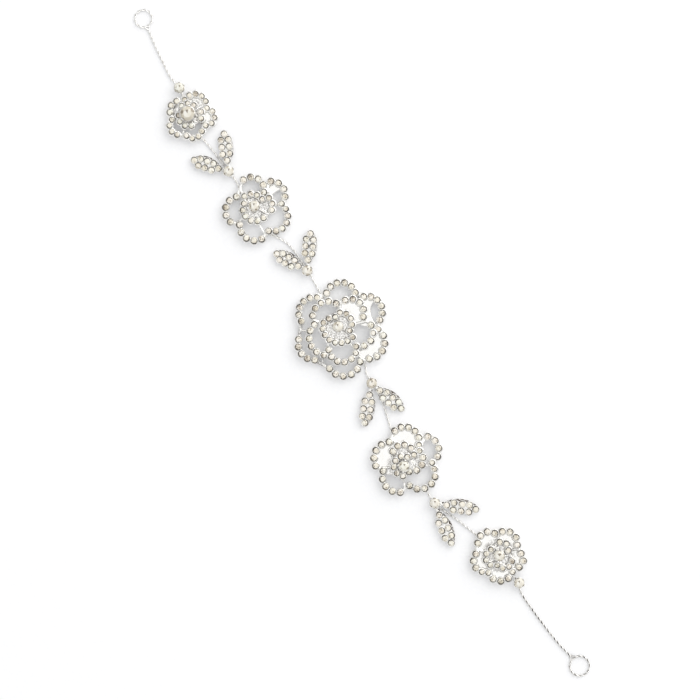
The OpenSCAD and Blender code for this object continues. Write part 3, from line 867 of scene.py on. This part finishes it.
def large_stones():
    """The large stone of each centre, stem and end, cut like the small ones but deeper."""
    for name in sorted(STONE_OF_CASTING.values()):
        middle, radius, girdle = large_stone(name)
        lean = math.radians(FIRST_CENTRE_LEAN if name == "rose_1_centre_stone" else LARGE_LEAN)
        turn = random.uniform(0, TURN)
        towards = PICTURE_TURN + random.uniform(*LARGE_STRAY)
        one = (np.append(middle, girdle), radius, turn, lean, towards, LARGE_SHADE_STRENGTH)
        stones = Stones(*(np.array([value]) for value in one))
        crystal_name = name.replace("_stone", "_crystal")
        made = crystals(
            crystal_name, stones, LARGE_SHAPE, LARGE_CRYSTAL, "large_crystal", **LARGE_FIRE
        )
        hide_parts(name)


def leaf_fields():
    """Stones and rims of the leaves, in the seats along each leaf's middle line and sides."""
    for name, (at, leaves) in LEAF_PAIRS.items():
        spots = []
        for direction, length, rolled_side, roll in leaves:
            singles = [[s * length, 0] for s in LEAF_SINGLE]
            pairs = [[s * length, side * LEAF_STONE_SIDE] for s in LEAF_DOUBLE for side in (-1, 1)]
            along = np.array(singles + pairs)
            half = leaf_half_width(along[:, 0], length)
            along[:, 1] -= rolled_side * roll * LEAF_SHIFT * half / (LEAF_W / 2)
            a = math.radians(direction)
            turned = along @ np.array([[math.cos(a), math.sin(a)], [-math.sin(a), math.cos(a)]])
            spots.append(turned + np.array(at))
        middle = placed(np.concatenate(spots))
        times = len(middle)
        girdle = np.column_stack([middle, np.full(times, (LEAF_TOP + LEAF_STONE_RISE) * MM)])
        turn = random.uniform(0, TURN, times)
        lean = np.radians(random.uniform(*LEAF_LEAN, times))
        towards = LEAF_TOWARDS + random.uniform(*LEAF_STRAY, times)
        drawn = random.uniform(*LEAF_SHADE_STRENGTH, times)
        stones = Stones(girdle, np.full(times, LEAF_STONE), turn, lean, towards, drawn)
        crystal_name = name + "_crystals"
        crystals(crystal_name, stones, SMALL_SHAPE, SMALL_CRYSTAL, "small_crystal", **LEAF_FIRE)
        rim_rings(name + "_rims", stones)


# Twisted wire

def route_points(route, step):
    """Places every step along the smooth curve through a route, in millimetres.

    Between two places the curve is the cubic whose slopes at its ends come from the places
    before and after, and the places beyond the ends are mirrored.
    """
    route = np.asarray(route, float)
    held = np.concatenate([[2 * route[0] - route[1]], route, [2 * route[-1] - route[-2]]])
    fine = np.linspace(0, len(route) - 1, SPAN_STEPS * (len(route) - 1) + 1)
    i = np.minimum(fine.astype(int), len(route) - 2)
    f = (fine - i)[:, None]
    a, b, c, d = held[i], held[i + 1], held[i + 2], held[i + 3]
    curve = b + f * (c - a) / 2 + f**2 * (2 * a - 5 * b + 4 * c - d) / 2
    curve = curve + f**3 * (3 * b - a - 3 * c + d) / 2
    run = np.append(0, np.cumsum(np.linalg.norm(np.diff(curve, axis=0), axis=1)))
    at = np.linspace(0, run[-1], int(run[-1] / step) + 1)
    places = np.stack([np.interp(at, run, curve[:, k]) for k in range(curve.shape[1])], -1)
    return places, at


def level_frame(line, closed):
    """For each place of a line: the way ahead, the level way across it and the way up."""
    ahead = np.roll(line, -1, axis=0) - np.roll(line, 1, axis=0)
    if not closed:
        ahead[0] = line[1] - line[0]
        ahead[-1] = line[-1] - line[-2]
    ahead = ahead / np.linalg.norm(ahead, axis=1, keepdims=True)
    level = np.stack([-ahead[:, 1], ahead[:, 0], 0 * ahead[:, 0]], -1)
    level = level / np.linalg.norm(level, axis=1, keepdims=True)
    return ahead, level, np.cross(ahead, level)


def tube(line, first, second, diameter, closed, shade):
    """A circle carried along a line, with its ends closed: places, faces and shades.

    A corner at angle b stands half the diameter away along first times cos b plus second
    times sin b, and its shade is the given one where b is small, on the side of first.
    """
    b = np.arange(TUBE_SIDES) * TURN / TUBE_SIDES
    c, s = np.cos(b)[None, :, None], np.sin(b)[None, :, None]
    rings = first[:, None] * c + second[:, None] * s
    places = (line[:, None] + diameter / 2 * rings).reshape(-1, 3)
    faces = [grid_faces(len(line), TUBE_SIDES, closed, True)[:, ::-1]]
    shades = shade * np.tile(sided(np.cos(b), GROOVE_SIDE), len(line))
    if not closed:
        j = np.arange(TUBE_SIDES)
        after = (j + 1) % TUBE_SIDES
        last, tips = (len(line) - 1) * TUBE_SIDES, len(places)
        faces += [
            np.stack([j, after, 0 * j + tips], -1),
            np.stack([last + after, last + j, 0 * j + tips + 1], -1),
        ]
        places = np.concatenate([places, line[[0, -1]]])
        shades = np.append(shades, [0, 0])
    return places, faces, shades


def strands(line, run, closed, shade):
    """Two strands wound round each other, as tubes: places, faces and shades.

    A strand's middle is the line plus half a strand's width along an arm that turns once a
    pitch, and its own way ahead climbs across the line by that turning. The shade lies in
    the groove, where a strand looks at the other one.
    """
    ahead, level, upright = level_frame(line, closed)
    slope = TURN * STRAND_D / 2 / TWIST_PITCH
    both = []
    for part in range(2):
        a = (TURN * run / TWIST_PITCH + part * math.pi)[:, None]
        arm = level * np.cos(a) + upright * np.sin(a)
        across = upright * np.cos(a) - level * np.sin(a)
        own = (ahead + across * slope) / math.hypot(1, slope)
        middle = line + arm * STRAND_D / 2
        both.append(tube(middle, -arm, np.cross(own, arm), STRAND_D, closed, shade))
    return joined(both)


def joined(parts):
    """Several (places, faces, shades) as one."""
    start, places, faces, shades = 0, [], [], []
    for p, f, g in parts:
        places.append(p)
        faces += [one + start for one in f]
        shades.append(g)
        start += len(p)
    return np.concatenate(places), faces, np.concatenate(shades)


def twisted_wires():
    """Every wire as two strands wound round each other, the tails with their loops."""
    for name, route in WIRE_ROUTES.items():
        line, run = route_points(placed(route) / MM, TUBE_STEP)
        line = np.column_stack([line, np.full(len(line), WIRE_Z)])
        shade = GROOVE_SHADE.get(name, LINK_SHADE)
        parts = [strands(line, run, False, shade)]
        if name in LOOPS:
            parts += loop_strands(*LOOPS[name], LOOP_SHARE * shade)
        places, faces, shades = joined(parts)
        made = piece(
            name.replace("wire", "twisted"), places * MM, faces, WIRE_SILVER, True,
            {"shade": ("POINT", shades)},
        )
        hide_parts(name)


def loop_strands(at, bore, tail_end, shade):
    """The ring of a loop, and the two strands that spread from the tail's end to it."""
    radius = (bore + WIRE_D) / 2
    twists = round(TURN * radius / TWIST_PITCH)
    steps = TWIST_STEPS * twists
    a = np.arange(steps) * TURN / steps
    middle, root = placed(at) / MM, placed(tail_end) / MM
    ring = middle + radius * np.stack([np.cos(a), np.sin(a)], -1)
    ring = np.column_stack([ring, np.full(steps, WIRE_Z)])
    parts = [strands(ring, a / TURN * twists * TWIST_PITCH, True, shade)]
    inwards = root - middle
    way = math.atan2(inwards[1], inwards[0])
    start = root + NECK_BACK * inwards / np.linalg.norm(inwards)
    share = np.linspace(0, 1, NECK_STEPS)[:, None]
    for side in (-1, 1):
        b = way + side * math.radians(NECK_SPREAD / 2)
        end = middle + radius * np.array([math.cos(b), math.sin(b)])
        line = np.column_stack([start + (end - start) * share, np.full(NECK_STEPS, WIRE_Z)])
        ahead, level, upright = level_frame(line, False)
        parts.append(tube(line, -side * level, -side * upright, NECK_STRAND, False, shade))
    return parts


# Camera, light and table

# Light of the dome by how far its direction rises, and what the camera sees behind the table
DOME = [
    (0.0, (0.68, 0.66, 0.63)), (0.25, (0.66, 0.65, 0.63)), (0.5, (0.70, 0.70, 0.70)),
    (0.75, (0.85, 0.86, 0.87)), (1.0, (1.15, 1.15, 1.15)),
]
DOME_STRENGTH = 0.93
BACKDROP = (0.86, 0.87, 0.89)
KEY = (1.0, 0.985, 0.96)
PAPER = [(0.3, (0.81, 0.81, 0.82)), (0.7, (0.835, 0.835, 0.845))]
TABLE_REACH = 3.0


def camera():
    """A long lens straight above the vine, with the picture's up side turned to its place."""
    data = bpy.data.cameras.new("camera")
    data.lens = LENS
    data.sensor_width = SENSOR
    made = bpy.data.objects.new("camera", data)
    made.location = (*PICTURE_MIDDLE, PICTURE_WIDTH * LENS / SENSOR)
    made.rotation_euler = (0, 0, PICTURE_TURN)
    data.clip_start = 0.01
    data.clip_end = 20
    bpy.context.scene.collection.objects.link(made)
    bpy.context.scene.camera = made


def softbox(name, picture_side, elevation, distance, size, power, colour):
    """A square light that looks at the vine from a side of the picture, 0 being its right."""
    data = bpy.data.lights.new(name, "AREA")
    data.size = size
    data.energy = power
    data.color = colour
    made = bpy.data.objects.new(name, data)
    a = PICTURE_TURN + math.radians(picture_side)
    e = math.radians(elevation)
    made.location = (
        distance * math.cos(a) * math.cos(e), distance * math.sin(a) * math.cos(e),
        distance * math.sin(e),
    )
    made.rotation_euler = (math.pi / 2 - e, 0, a + math.pi / 2)
    bpy.context.scene.collection.objects.link(made)


def dome():
    """The light of a pale studio dome, brightest overhead, seen by the camera as plain grey."""
    world = bpy.data.worlds.new("studio dome")
    bpy.context.scene.world = world
    world.use_nodes = True
    tree = world.node_tree
    out = tree.nodes["Background"]
    direction = node(tree, "ShaderNodeTexCoord").outputs["Generated"]
    rise = node(tree, "ShaderNodeSeparateXYZ", {0: direction}).outputs[2]
    seen = node(tree, "ShaderNodeLightPath").outputs["Is Camera Ray"]
    tree.links.new(mixed(tree, seen, ramp(tree, rise, DOME), BACKDROP), out.inputs["Color"])
    out.inputs["Strength"].default_value = DOME_STRENGTH


def table():
    """A wide white table that glows a little, so that it is as bright as the picture's."""
    finish = bpy.data.materials.new("white table")
    finish.use_nodes = True
    tree = finish.node_tree
    paper = tree.nodes["Principled BSDF"]
    where = node(tree, "ShaderNodeTexCoord").outputs["Object"]
    fibre = node(tree, "ShaderNodeTexNoise", {"Vector": where, "Scale": 900.0, "Detail": 3.0})
    tree.links.new(ramp(tree, fibre.outputs[0], PAPER), paper.inputs["Base Color"])
    paper.inputs["Roughness"].default_value = 0.9
    paper.inputs["Specular IOR Level"].default_value = 0.1
    paper.inputs["Emission Color"].default_value = (0.97, 0.985, 1.0, 1)
    paper.inputs["Emission Strength"].default_value = 0.17
    mesh = bpy.data.meshes.new("table")
    corners = ((-1, -1), (1, -1), (1, 1), (-1, 1))
    places = [(x * TABLE_REACH, y * TABLE_REACH, 0) for x, y in corners]
    mesh.from_pydata(places, [], [(0, 1, 2, 3)])
    mesh.materials.append(finish)
    made = bpy.data.objects.new("table", mesh)
    bpy.context.scene.collection.objects.link(made)


camera()
dome()
softbox("key softbox", picture_side=45, elevation=38, distance=1.8, size=2.2, power=20, colour=KEY)
table()
bpy.context.scene.view_settings.view_transform = "Standard"
STONES = {name: loose_stones(name) for name in NODES if name.endswith("_stones")}
LARGE_STONES = {casting: large_stone(stone) for casting, stone in STONE_OF_CASTING.items()}
soft_castings()
rose_fields()
large_stones()
leaf_fields()
twisted_wires()
